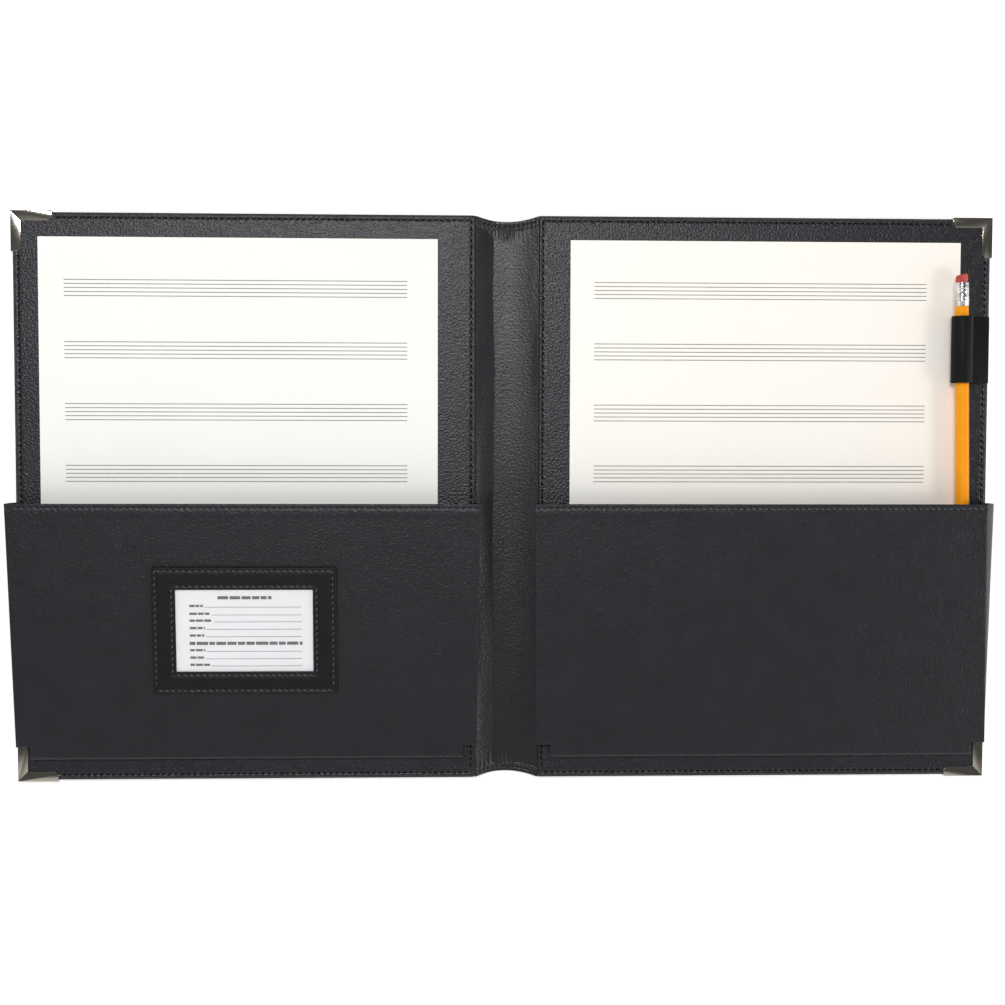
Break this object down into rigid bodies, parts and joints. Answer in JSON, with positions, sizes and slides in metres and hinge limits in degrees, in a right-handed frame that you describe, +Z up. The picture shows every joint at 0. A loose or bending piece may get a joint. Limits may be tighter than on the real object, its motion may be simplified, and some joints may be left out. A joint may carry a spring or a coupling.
{
  "type": "music folder",
  "caption": "Black leatherette music folder lying open, with gusseted pockets of ruled paper, metal corners, a card holder and a pencil in a loop",
  "frame": {"origin": "the middle of the open folder, on the surface that it lies on", "axes": "+X to the right across the open folder, +Y up its page, +Z up off the table, out of the inner faces"},
  "size_m": [0.5392, 0.3112, 0.0206],
  "materials": {
    "leatherette": "fine grained black leatherette with a soft satin sheen",
    "board": "dense grey bookbinding board",
    "paper": "uncoated ivory paper",
    "card": "smooth white card",
    "clear_film": "clear glossy plastic film",
    "nickel": "polished nickel plate",
    "pencil_paint": "glossy orange yellow lacquer on wood",
    "graphite": "dark satin graphite",
    "ferrule_metal": "bright rolled aluminium",
    "eraser_rubber": "matt pink rubber"
  },
  "bodies": {
    "spine": {"spine_skin": "leatherette", "spine_lining": "leatherette"},
    "left_cover": {"left_cover_skin": "leatherette", "left_cover_board": "board", "left_cover_lining": "leatherette", "left_pocket": "leatherette", "left_sheets": "paper", "corner_top_left": "nickel", "corner_bottom_left": "nickel", "card_frame": "leatherette", "card_window": "clear_film", "name_card": "card"},
    "right_cover": {"right_cover_skin": "leatherette", "right_cover_board": "board", "right_cover_lining": "leatherette", "right_pocket": "leatherette", "right_sheets": "paper", "corner_top_right": "nickel", "corner_bottom_right": "nickel", "pencil_loop": "leatherette", "pencil_body": "pencil_paint", "pencil_lead": "graphite", "pencil_ferrule": "ferrule_metal", "pencil_eraser": "eraser_rubber"}
  },
  "joints": [
    {"name": "left_cover_hinge", "type": "hinge", "parent": "spine", "child": "left_cover", "pos_m": [-0.0175, 0, 0.0056], "axis": [0, 1, 0], "range_deg": [0, 90]},
    {"name": "right_cover_hinge", "type": "hinge", "parent": "spine", "child": "right_cover", "pos_m": [0.0175, 0, 0.0056], "axis": [0, -1, 0], "range_deg": [0, 90]}
  ]
}
